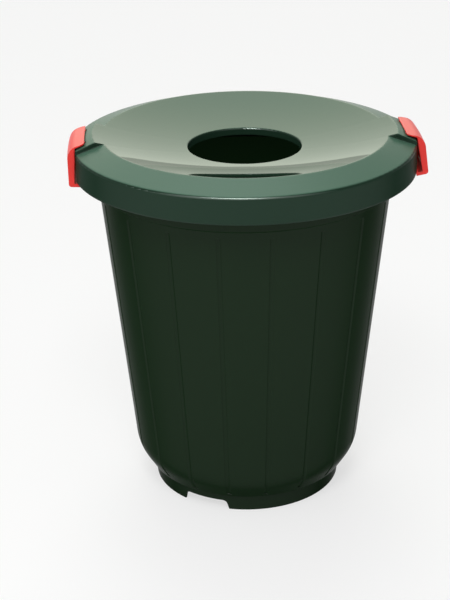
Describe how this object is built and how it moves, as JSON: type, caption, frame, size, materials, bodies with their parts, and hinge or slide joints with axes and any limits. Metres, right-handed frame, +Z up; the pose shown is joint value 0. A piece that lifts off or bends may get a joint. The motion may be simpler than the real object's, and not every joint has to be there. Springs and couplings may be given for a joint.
{
  "type": "lidded bin",
  "caption": "Round tapered plastic bin with a lift-off dished lid, a drop hole in its middle and latch clips that swing on the lid's ears and hook under the tub's rim.",
  "frame": {"origin": "middle of the base, on the surface the foot ring stands on", "axes": "+Z up the bin's axis, X through both clips, -Y towards the front"},
  "size_m": [0.491, 0.4718, 0.5231],
  "materials": {
    "green_plastic": "smooth gloss",
    "red_plastic": "smooth gloss"
  },
  "bodies": {
    "tub": {"tub": "green_plastic"},
    "lid": {"lid": "green_plastic"},
    "left_clip": {"left_clip": "red_plastic"},
    "right_clip": {"right_clip": "red_plastic"}
  },
  "joints": [
    {"name": "lid_lift", "type": "slide", "parent": "tub", "child": "lid", "axis": [0, 0, 1], "range_m": [0, 0.06]},
    {"name": "left_clip_hinge", "type": "hinge", "parent": "lid", "child": "left_clip", "pos_m": [-0.2196, 0, 0.51662], "axis": [0, 1, 0], "range_deg": [-3, 11]},
    {"name": "right_clip_hinge", "type": "hinge", "parent": "lid", "child": "right_clip", "pos_m": [0.2196, 0, 0.51662], "axis": [0, -1, 0], "range_deg": [-11, 3]}
  ]
}
